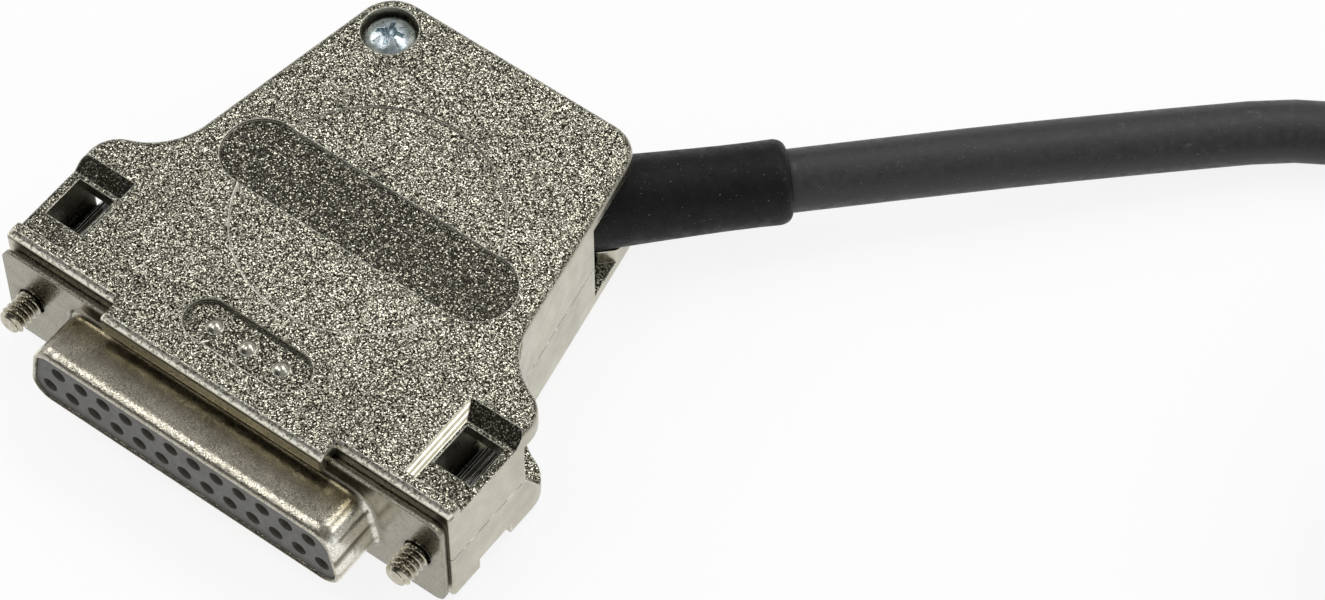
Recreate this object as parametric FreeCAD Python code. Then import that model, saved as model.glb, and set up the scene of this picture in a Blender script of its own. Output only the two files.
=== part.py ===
import FreeCAD, Part
import math
import os

V = FreeCAD.Vector
os.makedirs("parts", exist_ok=True)

# A metal hood for a 25-way D-sub cable socket with its cable, in millimetres.
# Frame: the origin is the middle of the socket's flange front, midway between
# the two jackscrews. +X runs along the socket, +Y back into the hood and +Z out
# of the hood's top face. The two cast shells part at z = 0.

# Contacts, in a long and a short row
CONTACT_SPACING = 2.76
ROW_Z = 1.42
LONG_ROW_COUNT = 13
CONTACT_R = 0.8
CONTACT_BORE_R = 0.5
CONTACT_BORE_DEPTH = 6.0
CONTACT_FRONT_SET = 0.7
CONTACT_GAP = 0.03
TAIL_LENGTH = 3.0
TAIL_STEP = 0.8

# Socket, the standard sizes of the 25-way shell: each width is set by the row inside
D_END_MARGIN = 1.83
D_HALF_Z = 3.95
D_SLANT = 10.0
D_CORNER_R = 2.3
D_DEPTH = 5.9
D_WALL = 0.4
D_ROOT_R = 0.8
D_RIM_R = 0.35
SCREW_BESIDE_D = 4.33
FLANGE_BEYOND_SCREW = 3.0
FLANGE_HALF_Z = 6.27
FLANGE_CORNER_R = 1.4
FLANGE_HOLE_R = 1.55
SHEET = 0.5
REAR_FLANGE_INSET = 0.32
REAR_FLANGE_HALF_Z = 5.8
REAR_SHEET = 0.6
REAR_BOX_MARGIN = 0.71
REAR_BOX_HALF_Z = 5.2
REAR_BOX_DEPTH = 3.4
REAR_BOX_R = 1.6
INSULATOR_SET_BACK = 0.3
INSULATOR_BACK_Y = 7.6
INSULATOR_GAP = 0.05

# Hood outline, both shells
TOP_Z = 7.75
BOTTOM_Z = -7.25
TOP_EDGE_R = 0.8
BOTTOM_EDGE_R = 1.3
EAR_PROUD = 0.18
SHOULDER_Y = 15.6
SHOULDER_SLOPE = 22.0
SHOULDER_R = 3.5
WAIST_R = 7.6
FRONT_EDGE_R = 0.3
REAR_Y = 45.7
REAR_HALF_X = 15.55
SIDE_TAPER = 10.0
CORNER_R = 4.0
WALL = 1.6
PLATE = 1.6
FRONT_WALL = 1.8
MOUTH_GAP = 0.3
MOUTH_R = 0.8
CAVITY_BEND_R = 2.0

# Lips over the socket's flange
LIP_HALF_X = 13.35
LIP_FRONT_Y = -1.0
LIP_HOOK_Z = 4.3
LIP_HOOK_T = 0.75
LOW_LIP_HALF_X = 9.0
SEAT_GAP = 0.05

# Ears with the jackscrew pockets
EAR_RECESS_FRONT_Y = 2.7
EAR_RECESS_REAR_Y = 12.65
EAR_RECESS_TOP_IN = 3.22
EAR_RECESS_DEPTH = 1.35
EAR_FLOOR_IN = 2.52
EAR_FLOOR_REAR_Y = 11.0
LOW_EAR_RECESS_DEPTH = 0.85
EAR_PLATE = 1.5
POCKET_WIDTH = 4.4
EAR_WALL_END_Y = 12.2
GAP_LENGTH = 8.4
SHOULDER_PLATE = 2.3
LEDGE_T = 2.75
LEDGE_SLOPE_Y = 14.7
WINDOW_FRONT_Y = 5.6
WINDOW_REAR_Y = 10.6
NOTCH_FRONT_Y = 5.0
NOTCH_REAR_Y = 9.8
NOTCH_HEIGHT = 2.5

# Marks in the top face
BAND_Y = 22.7
BAND_HALF_X = 17.1
BAND_HALF_Y = 4.0
BAND_DEPTH = 0.35
DISC_R = 13.2
DISC_DEPTH = 0.12
PILL_Y = 4.75
PILL_HALF_X = 7.2
PILL_HALF_Y = 2.35
PILL_DEPTH = 0.5
DOME_SPACING = 4.0
DOME_R = 0.85
DOME_HEIGHT = 0.45

# Closing screw, set in from the rear left corner
CLOSE_INSET_X = 3.25
CLOSE_INSET_Y = 4.2
HEAD_R = 2.5
HEAD_H = 1.85
HEAD_SIDE_H = 0.83
HEAD_SEAT_DEPTH = 1.95
RECESS_HALF = 1.4
RECESS_BLADE = 0.48
RECESS_DEPTH = 1.1
RECESS_CONE_DEPTH = 1.3
RECESS_CONE_TIP_R = 0.35
RECESS_CONE_R = 0.8
RECESS_TURN = 20.0
SHANK_R = 1.25
SHANK_END_GAP = 0.5
SCREW_FLOOR = 1.55
COUNTERBORE_GAP = 0.4
SHANK_GAP = 0.15
TAPPED_GAP = 0.03
BOSS_R = 3.9

# Jackscrews
THREAD_R = 1.42
TIP_Y = -3.4
TIP_CHAMFER = 0.35
THREAD_END_Y = -0.1
NECK_R = 1.1
NECK_GAP = 0.08
COLLAR_R = 1.75
COLLAR_GAP = 0.25
COLLAR_T = 0.9
STEM_R = 1.15
SLOT_WIDTH = 0.7
SLOT_DEPTH = 0.9
GRIP_R = 2.02
GRIP_END_Y = 12.9
GRIP_RIBS = 12
GROOVE_WIDTH = 0.46
GROOVE_DEPTH = 0.3
GRIP_CHAMFER = 0.45
STEM_PROUD = 0.4

# Cable and its rubber bend relief, on a line at 45 degrees in plan, placed from
# the rear right corner: s runs along that line, side across it
CABLE_R = 3.15
AXIS_BESIDE_CORNER = 1.85
PORT_INSET = 6.11
PORT_WALL = 1.6
PORT_R = 4.05
JACKET_INSIDE = 13.2
RELIEF_GAP = 0.1
RELIEF_R = 4.6
RELIEF_END_R = 4.15
RELIEF_LENGTH = 20.1
RELIEF_EDGE = 0.45
RELIEF_COLLAR_R = 4.9
RELIEF_COLLAR_T = 1.6
EXIT_FLOOR_T = 2.35
CRADLE_HALF = 3.7
CRADLE_TOP_Z = -2.9
CRADLE_LENGTH = 4.0

# Cable clamp inside, on a block with a round groove
CLAMP_INSIDE = 6.9
CLAMP_LENGTH = 4.2
CLAMP_T = 1.0
CLAMP_FOOT_T = 1.2
CLAMP_SCREW_OFFSET = 6.0
CLAMP_FOOT_HALF = 8.0
CLAMP_FOOT_Z = -0.6
CLAMP_SCREW_R = 1.0
CLAMP_HEAD_R = 1.8
CLAMP_HEAD_H = 1.3
CLAMP_SCREW_LENGTH = 4.2
CLAMP_SLOT_WIDTH = 0.5
CLAMP_SLOT_DEPTH = 0.6
FERRULE_SET = 0.6
FERRULE_LENGTH = 3.2
FERRULE_T = 0.45

# Wires from the contacts to the cable's end, in rows that fill its round
WIRE_R = 0.3
WIRE_SIDES = 6
WIRE_SPACING = 0.85
WIRE_LEVEL_Z = 0.45
WIRE_TURN_Y = 25.0
WIRE_TAIL_GAP = 0.2
WIRE_LEAVE = 0.6

# The free cable: straight out of the relief, then the route's points, then a coil
STRAIGHT_BEYOND = 11.2
ROUTE = [
    (49.3, 79.0, -2.05),
    (68.0, 98.0, -3.8),
]
COIL_HEADING = 12.0
COIL_LEAD = 54.0
COIL_R = 31.5
COIL_TURNS_ACROSS = 3
COIL_TURNS_UP = 3
COIL_BEVEL = 1.6
TIE_T = 0.8
TIE_GAP = 0.1
TIE_WIDTH = 4.0
TIE_ANGLE = 270.0
TIE_HEAD = 3.2
TIE_HEAD_HALF = 2.6
END_ANGLE = 327.0
END_SECTOR = 40.0
END_SPARE_ANGLE = 6.0
END_STEP_ANGLE = 2.5
CORE_R = 0.75
CORE_COUNT = 7
CORE_SIDES = 8
CORE_RUNS = 4
CORE_GAP = 0.05
CORE_GAP_ANGLE = 0.4

# Length of a cutting tool that only has to reach past what it cuts
FAR = 60.0
OVER = 1.0

AXIS_Y = V(0, 1, 0)
AXIS_Z = V(0, 0, 1)
SIDE_SLOPE = math.tan(math.radians(SIDE_TAPER))
ROW_HALF_X = (LONG_ROW_COUNT - 1) / 2 * CONTACT_SPACING + CONTACT_R
D_HALF_WIDE = ROW_HALF_X + D_END_MARGIN
SCREW_X = D_HALF_WIDE + SCREW_BESIDE_D
FLANGE_HALF_X = SCREW_X + FLANGE_BEYOND_SCREW
REAR_FLANGE_HALF_X = FLANGE_HALF_X - REAR_FLANGE_INSET
REAR_BOX_HALF_X = D_HALF_WIDE + REAR_BOX_MARGIN
EAR_HALF_X = FLANGE_HALF_X + EAR_PROUD
FRONT_Y = SHEET + REAR_SHEET
POCKET_IN_X = SCREW_X - POCKET_WIDTH / 2
POCKET_OUT_X = SCREW_X + POCKET_WIDTH / 2
POCKET_FRONT_Y = FRONT_Y + FRONT_WALL
COLLAR_FRONT_Y = POCKET_FRONT_Y + COLLAR_GAP
EAR_FLOOR_Z = TOP_Z - EAR_RECESS_DEPTH
LOW_EAR_FLOOR_Z = BOTTOM_Z + LOW_EAR_RECESS_DEPTH
CLOSE_X = CLOSE_INSET_X - REAR_HALF_X
CLOSE_Y = REAR_Y - CLOSE_INSET_Y
HEAD_SEAT_Z = TOP_Z - HEAD_SEAT_DEPTH
TAP_END_Z = BOTTOM_Z + SCREW_FLOOR
SHANK_END_Z = TAP_END_Z + SHANK_END_GAP
ROOT_HALF = math.sqrt(0.5)
AXIS_SHIFT = REAR_Y - REAR_HALF_X - AXIS_BESIDE_CORNER
PORT_S = (REAR_HALF_X + REAR_Y) * ROOT_HALF - PORT_INSET
RELIEF_END_S = PORT_S + RELIEF_LENGTH
CABLE_START = PORT_S - JACKET_INSIDE
CLAMP_S = PORT_S - CLAMP_INSIDE


def save(shape, name):
    shape.exportStep("parts/" + name + ".step")
    print("%-26s solids %2d volume %9.2f valid %s" % (name, len(shape.Solids), shape.Volume, shape.isValid()))


def box(x0, x1, y0, y1, z0, z1):
    return Part.makeBox(x1 - x0, y1 - y0, z1 - z0, V(x0, y0, z0))


def rod(radius, start, direction, length):
    return Part.makeCylinder(radius, length, start, direction)


def rounded_wire(corners):
    # A closed outline from corners (point, radius), each rounded by a tangent arc
    # that leaves room for its neighbours on the sides that they share.
    count = len(corners)
    sides = [corners[(i + 1) % count][0] - corners[i][0] for i in range(count)]
    halves = []
    reaches = []
    for i in range(count):
        halves.append((sides[i - 1] * -1).getAngle(sides[i]) / 2)
        reaches.append(corners[i][1] / math.tan(halves[i]))
    ends = []
    for i in range(count):
        point = corners[i][0]
        reach = reaches[i]
        if reach <= 0:
            ends.append((point, point, point))
            continue
        for side, other in ((sides[i - 1], reaches[i - 1]), (sides[i], reaches[(i + 1) % count])):
            reach = min(reach, side.Length * 0.999 * reaches[i] / (reaches[i] + other))
        radius = reach * math.tan(halves[i])
        back = V(sides[i - 1]).normalize() * -1
        ahead = V(sides[i]).normalize()
        middle = (back + ahead).normalize() * (radius / math.sin(halves[i]) - radius)
        ends.append((point + back * reach, point + middle, point + ahead * reach))
    edges = []
    for i in range(count):
        start, middle, end = ends[i]
        if (start - end).Length > 1e-6:
            edges.append(Part.Arc(start, middle, end).toShape())
        following = ends[(i + 1) % count][0]
        if (following - end).Length > 1e-6:
            edges.append(Part.LineSegment(end, following).toShape())
    return Part.Wire(edges)


def plan(points, z0, z1):
    # A plate from plan points (x, y, corner radius) between two heights.
    wire = rounded_wire([(V(x, y, z0), r) for x, y, r in points])
    return Part.Face(wire).extrude(V(0, 0, z1 - z0))


def front_profile(points, y0, y1):
    # A bar along Y from points (x, z, corner radius) in the socket's face.
    wire = rounded_wire([(V(x, y0, z), r) for x, z, r in points])
    return Part.Face(wire).extrude(V(0, y1 - y0, 0))


def side_profile(points, x0, x1):
    # A bar along X from points (y, z) seen from the side.
    corners = [V(x0, y, z) for y, z in points]
    return Part.Face(Part.makePolygon(corners + corners[:1])).extrude(V(x1 - x0, 0, 0))


def rectangle(half_x, half_z, radius):
    return [(-half_x, -half_z, radius), (half_x, -half_z, radius),
            (half_x, half_z, radius), (-half_x, half_z, radius)]


def slot_plan(half_x, half_y, middle_y, z0, z1):
    points = [(-half_x, middle_y - half_y, half_y), (half_x, middle_y - half_y, half_y),
              (half_x, middle_y + half_y, half_y), (-half_x, middle_y + half_y, half_y)]
    return plan(points, z0, z1)


def mirror_x(shape):
    return shape.mirror(V(0, 0, 0), V(1, 0, 0))


def along_cable(s, side=0.0, z=0.0):
    # A point s along the cable's line in the hood, side to its right, at height z.
    foot = V(-AXIS_SHIFT / 2, AXIS_SHIFT / 2, z)
    return foot + V(ROOT_HALF, ROOT_HALF, 0) * s + V(ROOT_HALF, -ROOT_HALF, 0) * side


CABLE_DIRECTION = V(1, 1, 0).normalize()


def cable_box(s0, s1, side0, side1, z0, z1):
    corners = [along_cable(s0, side0, z0), along_cable(s1, side0, z0),
               along_cable(s1, side1, z0), along_cable(s0, side1, z0)]
    return Part.Face(Part.makePolygon(corners + corners[:1])).extrude(V(0, 0, z1 - z0))


def waist_corner(ear_x, shoulder_y, inset):
    # Where the sloping shoulder meets the tapering side.
    fall = math.tan(math.radians(SHOULDER_SLOPE))
    side = REAR_HALF_X - inset / math.cos(math.radians(SIDE_TAPER)) + REAR_Y * SIDE_SLOPE
    y = (shoulder_y + (ear_x - side) * fall) / (1 - SIDE_SLOPE * fall)
    return side - y * SIDE_SLOPE, y


def body_outline(lip):
    # Plan outline of the hood, counterclockwise, with the middle lip if asked for.
    waist_x, waist_y = waist_corner(EAR_HALF_X, SHOULDER_Y, 0)
    right = [(EAR_HALF_X, FRONT_Y, FRONT_EDGE_R), (EAR_HALF_X, SHOULDER_Y, SHOULDER_R),
             (waist_x, waist_y, WAIST_R), (REAR_HALF_X, REAR_Y, CORNER_R)]
    left = [(-x, y, r) for x, y, r in reversed(right)]
    front = []
    if lip:
        front = [(-LIP_HALF_X, FRONT_Y, 0), (-LIP_HALF_X, LIP_FRONT_Y, FRONT_EDGE_R),
                 (LIP_HALF_X, LIP_FRONT_Y, FRONT_EDGE_R), (LIP_HALF_X, FRONT_Y, 0)]
    return front + right + left


def cavity_outline():
    # The room inside between the two jackscrew pockets and the outer walls.
    inner_x = REAR_BOX_HALF_X + MOUTH_GAP
    side = REAR_HALF_X - WALL / math.cos(math.radians(SIDE_TAPER))
    rear_y = REAR_Y - WALL
    rear_x = side + WALL * SIDE_SLOPE
    bend_y = REAR_Y - (inner_x - side) / SIDE_SLOPE
    right = [(inner_x, POCKET_FRONT_Y, 0), (inner_x, bend_y, CAVITY_BEND_R),
             (rear_x, rear_y, CORNER_R - WALL)]
    left = [(-x, y, r) for x, y, r in reversed(right)]
    return right + left


def horizontal_edges(shape, z):
    picked = []
    for edge in shape.Edges:
        bounds = edge.BoundBox
        if abs(bounds.ZMin - z) < 1e-4 and abs(bounds.ZMax - z) < 1e-4:
            picked.append(edge)
    return picked


def ear_recess(floor_z, face_z, front_y):
    # The wedge cut from an ear's outside face: slanted back and inner walls.
    over = math.copysign(OVER, face_z)
    out_x = EAR_HALF_X + OVER
    floor_x = SCREW_X - EAR_FLOOR_IN
    top_x = floor_x - (EAR_RECESS_TOP_IN - EAR_FLOOR_IN) * (face_z + over - floor_z) / (face_z - floor_z)
    rise = abs(face_z + over - floor_z) / EAR_RECESS_DEPTH
    top_y = EAR_FLOOR_REAR_Y + (EAR_RECESS_REAR_Y - EAR_FLOOR_REAR_Y) * rise
    wires = []
    for x, y, z in ((floor_x, EAR_FLOOR_REAR_Y, floor_z), (top_x, top_y, face_z + over)):
        corners = [V(x, front_y, z), V(out_x, front_y, z), V(out_x, y, z), V(x, y, z)]
        wires.append(Part.makePolygon(corners + corners[:1]))
    return Part.makeLoft(wires, True, True)


def port_walls(z0, z1):
    # The slanting wall with the cable's port, and the open corner behind it.
    wall = cable_box(PORT_S - PORT_WALL, PORT_S, -FAR / 2, FAR / 2, z0, z1)
    corner = cable_box(PORT_S, PORT_S + FAR, -FAR / 2, FAR / 2, z0, z1)
    return wall, corner


def both_ears(shape):
    return shape.fuse(mirror_x(shape))


def cut_ears(shell, z_from, z_to):
    # The pocket that holds a jackscrew, open behind its side wall.
    pocket = box(POCKET_IN_X, POCKET_OUT_X, POCKET_FRONT_Y, EAR_WALL_END_Y + OVER, z_from, z_to)
    return shell.cut(both_ears(pocket))


def neck_holes():
    return both_ears(rod(NECK_R + NECK_GAP, V(SCREW_X, 0, 0), AXIS_Y, POCKET_FRONT_Y + OVER))


def mouth():
    # The opening in the front wall for the socket's body.
    half_x = REAR_BOX_HALF_X + MOUTH_GAP
    half_z = REAR_BOX_HALF_Z + MOUTH_GAP
    return front_profile(rectangle(half_x, half_z, MOUTH_R), -FAR, POCKET_FRONT_Y + OVER)


def make_upper_shell():
    shell = plan(body_outline(True), 0, TOP_Z)
    shell = shell.makeFillet(TOP_EDGE_R, horizontal_edges(shell, TOP_Z))
    cavity = plan(cavity_outline(), -OVER, TOP_Z - PLATE)
    wall, corner = port_walls(0, TOP_Z - PLATE)
    boss = rod(BOSS_R, V(CLOSE_X, CLOSE_Y, 0), AXIS_Z, TOP_Z)
    shell = shell.cut(cavity.cut(wall.fuse(boss)))
    shell = shell.cut(corner)
    # The socket's body passes through the front wall, and the lip hooks over its flange.
    shell = shell.cut(mouth())
    flange_slot = box(-LIP_HALF_X, LIP_HALF_X, LIP_FRONT_Y + LIP_HOOK_T, FRONT_Y,
                      -OVER, FLANGE_HALF_Z + SEAT_GAP)
    under_lip = box(-LIP_HALF_X, LIP_HALF_X, LIP_FRONT_Y - OVER, FRONT_Y, -OVER, LIP_HOOK_Z)
    shell = shell.cut(flange_slot).cut(under_lip)
    shell = cut_ears(shell, -OVER, EAR_FLOOR_Z - EAR_PLATE)
    gap = box(POCKET_IN_X, EAR_HALF_X + OVER, EAR_WALL_END_Y, EAR_WALL_END_Y + GAP_LENGTH,
              -OVER, TOP_Z - SHOULDER_PLATE)
    window = box(POCKET_IN_X, POCKET_OUT_X, WINDOW_FRONT_Y, WINDOW_REAR_Y, 0, TOP_Z)
    recess = ear_recess(EAR_FLOOR_Z, TOP_Z, EAR_RECESS_FRONT_Y)
    for tool in (gap, window, recess):
        shell = shell.cut(both_ears(tool))
    shell = shell.cut(neck_holes())
    # Marks in the top face: a round field, a long band and a grip field with three domes.
    disc = rod(DISC_R, V(0, BAND_Y, TOP_Z - DISC_DEPTH), AXIS_Z, OVER)
    band = slot_plan(BAND_HALF_X, BAND_HALF_Y, BAND_Y, TOP_Z - BAND_DEPTH, TOP_Z + OVER)
    pill = slot_plan(PILL_HALF_X, PILL_HALF_Y, PILL_Y, TOP_Z - PILL_DEPTH, TOP_Z + OVER)
    ball_r = (DOME_R * DOME_R + DOME_HEIGHT * DOME_HEIGHT) / (2 * DOME_HEIGHT)
    for i in (-1, 0, 1):
        centre = V(i * DOME_SPACING, PILL_Y, TOP_Z - PILL_DEPTH + DOME_HEIGHT - ball_r)
        pill = pill.cut(Part.makeSphere(ball_r, centre))
    for tool in (disc, band, pill):
        shell = shell.cut(tool)
    # Closing screw: counterbore and clearance hole.
    shell = shell.cut(rod(HEAD_R + COUNTERBORE_GAP, V(CLOSE_X, CLOSE_Y, HEAD_SEAT_Z), AXIS_Z, TOP_Z))
    shell = shell.cut(rod(SHANK_R + SHANK_GAP, V(CLOSE_X, CLOSE_Y, -OVER), AXIS_Z, TOP_Z))
    return shell.cut(rod(PORT_R, along_cable(PORT_S - 2 * PORT_WALL), CABLE_DIRECTION, 4 * PORT_WALL))


def make_lower_shell():
    shell = plan(body_outline(False), BOTTOM_Z, 0)
    shell = shell.makeFillet(BOTTOM_EDGE_R, horizontal_edges(shell, BOTTOM_Z))
    floor_z = BOTTOM_Z + PLATE
    wall, corner = port_walls(floor_z, OVER)
    boss = rod(BOSS_R, V(CLOSE_X, CLOSE_Y, floor_z), AXIS_Z, -floor_z)
    # The clamp's block carries the cable in a round groove.
    s0 = CLAMP_S - CLAMP_LENGTH / 2
    s1 = CLAMP_S + CLAMP_LENGTH / 2
    block = cable_box(s0, s1, -CLAMP_FOOT_HALF, CLAMP_FOOT_HALF, floor_z, CLAMP_FOOT_Z)
    block = block.cut(rod(CABLE_R, along_cable(s0 - OVER), CABLE_DIRECTION, CLAMP_LENGTH + 2 * OVER))
    cavity = plan(cavity_outline(), floor_z, OVER)
    shell = shell.cut(cavity.cut(wall.fuse([boss, block])))
    exit_room = cable_box(PORT_S, PORT_S + FAR, -FAR / 2, FAR / 2, BOTTOM_Z + EXIT_FLOOR_T, OVER)
    cradle = cable_box(PORT_S - OVER, PORT_S + CRADLE_LENGTH, -CRADLE_HALF, CRADLE_HALF,
                       floor_z, CRADLE_TOP_Z)
    shell = shell.cut(exit_room.cut(cradle)).cut(mouth())
    # A small lip holds the flange's lower edge.
    hook_y = LIP_FRONT_Y + LIP_HOOK_T
    bridge = box(-LOW_LIP_HALF_X, LOW_LIP_HALF_X, LIP_FRONT_Y, POCKET_FRONT_Y,
                 BOTTOM_Z, -FLANGE_HALF_Z - SEAT_GAP)
    hook = box(-LOW_LIP_HALF_X, LOW_LIP_HALF_X, LIP_FRONT_Y, hook_y, BOTTOM_Z, -LIP_HOOK_Z)
    shell = shell.fuse([bridge, hook])
    shell = cut_ears(shell, LOW_EAR_FLOOR_Z + EAR_PLATE, OVER)
    ledge_z = BOTTOM_Z + LEDGE_T
    end_y = EAR_WALL_END_Y + GAP_LENGTH
    gap = side_profile([(EAR_WALL_END_Y, OVER), (EAR_WALL_END_Y, 0), (LEDGE_SLOPE_Y, ledge_z),
                        (end_y, ledge_z), (end_y, OVER)], POCKET_IN_X, EAR_HALF_X + OVER)
    notch = box(POCKET_IN_X, EAR_HALF_X + OVER, NOTCH_FRONT_Y, NOTCH_REAR_Y, BOTTOM_Z - OVER,
                BOTTOM_Z + NOTCH_HEIGHT)
    recess = ear_recess(LOW_EAR_FLOOR_Z, BOTTOM_Z, FRONT_Y - OVER)
    for tool in (gap, notch, recess):
        shell = shell.cut(both_ears(tool))
    shell = shell.cut(neck_holes())
    shell = shell.cut(rod(SHANK_R + TAPPED_GAP, V(CLOSE_X, CLOSE_Y, TAP_END_Z), AXIS_Z, FAR))
    for side in (-CLAMP_SCREW_OFFSET, CLAMP_SCREW_OFFSET):
        start = along_cable(CLAMP_S, side, CLAMP_FOOT_Z + CLAMP_FOOT_T - CLAMP_SCREW_LENGTH - SHANK_END_GAP)
        shell = shell.cut(rod(CLAMP_SCREW_R + TAPPED_GAP, start, AXIS_Z, FAR))
    shell = shell.cut(rod(PORT_R, along_cable(PORT_S - 2 * PORT_WALL), CABLE_DIRECTION, 2 * PORT_WALL))
    return shell.cut(rod(RELIEF_R + RELIEF_GAP, along_cable(PORT_S), CABLE_DIRECTION, FAR))


def d_profile(inset):
    # The D outline, wider at the bottom, with slanting ends.
    slant = math.radians(D_SLANT)
    z = D_HALF_Z - inset
    wide = D_HALF_WIDE - inset / math.cos(slant) - inset * math.tan(slant)
    narrow = wide - 2 * z * math.tan(slant)
    r = D_CORNER_R - inset
    return [(-wide, -z, r), (wide, -z, r), (narrow, z, r), (-narrow, z, r)]


def edges_in(shape, y):
    # The edges of the D outline in the plane at y, and not those of the flange.
    picked = []
    for edge in shape.Edges:
        b = edge.BoundBox
        flat = abs(b.YMin - y) < 1e-4 and abs(b.YMax - y) < 1e-4
        if flat and max(abs(b.XMin), abs(b.XMax)) < SCREW_X and max(abs(b.ZMin), abs(b.ZMax)) < FLANGE_HALF_Z:
            picked.append(edge)
    return picked


def flange_holes(y0, y1):
    return both_ears(rod(FLANGE_HOLE_R, V(SCREW_X, y0 - OVER, 0), AXIS_Y, y1 - y0 + 2 * OVER))


def make_front_shell():
    flange = front_profile(rectangle(FLANGE_HALF_X, FLANGE_HALF_Z, FLANGE_CORNER_R), 0, SHEET)
    shell = flange.fuse(front_profile(d_profile(0), -D_DEPTH, SHEET / 2)).removeSplitter()
    shell = shell.makeFillet(D_ROOT_R, edges_in(shell, 0))
    shell = shell.makeFillet(D_RIM_R, edges_in(shell, -D_DEPTH))
    shell = shell.cut(front_profile(d_profile(D_WALL), -D_DEPTH - OVER, SHEET + OVER))
    return shell.cut(flange_holes(0, SHEET))


def make_rear_shell():
    back = FRONT_Y + REAR_BOX_DEPTH
    shell = front_profile(rectangle(REAR_FLANGE_HALF_X, REAR_FLANGE_HALF_Z, FLANGE_CORNER_R), SHEET, FRONT_Y)
    shell = shell.fuse(front_profile(rectangle(REAR_BOX_HALF_X, REAR_BOX_HALF_Z, REAR_BOX_R), SHEET, back))
    inner = rectangle(REAR_BOX_HALF_X - D_WALL, REAR_BOX_HALF_Z - D_WALL, REAR_BOX_R - D_WALL)
    shell = shell.cut(front_profile(inner, SHEET - OVER, back + OVER))
    return shell.cut(flange_holes(SHEET, FRONT_Y))


def contact_places():
    # Thirteen in the wide row at the bottom, twelve between them at the top.
    places = []
    for count, z in ((LONG_ROW_COUNT, -ROW_Z), (LONG_ROW_COUNT - 1, ROW_Z)):
        for i in range(count):
            places.append(((i - (count - 1) / 2) * CONTACT_SPACING, z))
    return places


def contact_bores(y0, y1):
    bores = []
    for x, z in contact_places():
        bores.append(rod(CONTACT_R + CONTACT_GAP, V(x, y0, z), AXIS_Y, y1 - y0))
    return Part.makeCompound(bores)


def make_insulator():
    # A D-shaped nose inside the front shell on a block inside the rear shell.
    gap = D_WALL + INSULATOR_GAP
    face = -D_DEPTH + INSULATOR_SET_BACK
    nose = front_profile(d_profile(gap), face, SHEET + INSULATOR_GAP)
    block = front_profile(rectangle(REAR_BOX_HALF_X - gap, REAR_BOX_HALF_Z - gap, REAR_BOX_R - gap),
                          SHEET + INSULATOR_GAP, INSULATOR_BACK_Y)
    return nose.fuse(block).cut(contact_bores(face - OVER, INSULATOR_BACK_Y + OVER))


def make_contact(x, z):
    front = -D_DEPTH + INSULATOR_SET_BACK + CONTACT_FRONT_SET
    back = INSULATOR_BACK_Y + TAIL_LENGTH
    contact = rod(CONTACT_R, V(x, front, z), AXIS_Y, back - front)
    contact = contact.cut(rod(CONTACT_BORE_R, V(x, front - OVER, z), AXIS_Y, CONTACT_BORE_DEPTH + OVER))
    # The solder tail is flat on the side away from the middle.
    over = CONTACT_R + OVER
    z0 = z if z > 0 else z - over
    return contact.cut(box(x - over, x + over, INSULATOR_BACK_Y + TAIL_STEP, back + OVER, z0, z0 + over))


def make_closing_screw():
    shank = rod(SHANK_R, V(CLOSE_X, CLOSE_Y, SHANK_END_Z), AXIS_Z, HEAD_SEAT_Z - SHANK_END_Z)
    # Pan head: a short straight side under a shallow dome.
    crown = HEAD_H - HEAD_SIDE_H
    ball_r = (HEAD_R * HEAD_R + crown * crown) / (2 * crown)
    head = rod(HEAD_R, V(CLOSE_X, CLOSE_Y, HEAD_SEAT_Z), AXIS_Z, HEAD_H)
    head = head.common(Part.makeSphere(ball_r, V(CLOSE_X, CLOSE_Y, HEAD_SEAT_Z + HEAD_H - ball_r)))
    screw = head.fuse(shank).removeSplitter()
    top = HEAD_SEAT_Z + HEAD_H
    for turn in (RECESS_TURN, RECESS_TURN + 90):
        blade = box(-RECESS_HALF, RECESS_HALF, -RECESS_BLADE / 2, RECESS_BLADE / 2,
                    top - RECESS_DEPTH, top + OVER)
        blade.rotate(V(0, 0, 0), AXIS_Z, turn)
        blade.translate(V(CLOSE_X, CLOSE_Y, 0))
        screw = screw.cut(blade)
    cone = Part.makeCone(RECESS_CONE_TIP_R, RECESS_CONE_R, RECESS_CONE_DEPTH,
                         V(CLOSE_X, CLOSE_Y, top - RECESS_CONE_DEPTH), AXIS_Z)
    return screw.cut(cone)


def make_jackscrew():
    # Lengths of rod one behind the other: tip, thread, neck, collar and stem.
    stem_end = GRIP_END_Y + STEM_PROUD
    collar_end = COLLAR_FRONT_Y + COLLAR_T
    screw = Part.makeCone(THREAD_R - TIP_CHAMFER, THREAD_R, TIP_CHAMFER, V(SCREW_X, TIP_Y, 0), AXIS_Y)
    lengths = [(THREAD_R, TIP_Y + TIP_CHAMFER, THREAD_END_Y), (NECK_R, THREAD_END_Y, COLLAR_FRONT_Y),
               (COLLAR_R, COLLAR_FRONT_Y, collar_end), (STEM_R, collar_end, stem_end)]
    screw = screw.fuse([rod(r, V(SCREW_X, y0, 0), AXIS_Y, y1 - y0) for r, y0, y1 in lengths])
    slot = box(SCREW_X - COLLAR_R, SCREW_X + COLLAR_R, stem_end - SLOT_DEPTH, stem_end + OVER,
               -SLOT_WIDTH / 2, SLOT_WIDTH / 2)
    return screw.cut(slot)


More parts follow.
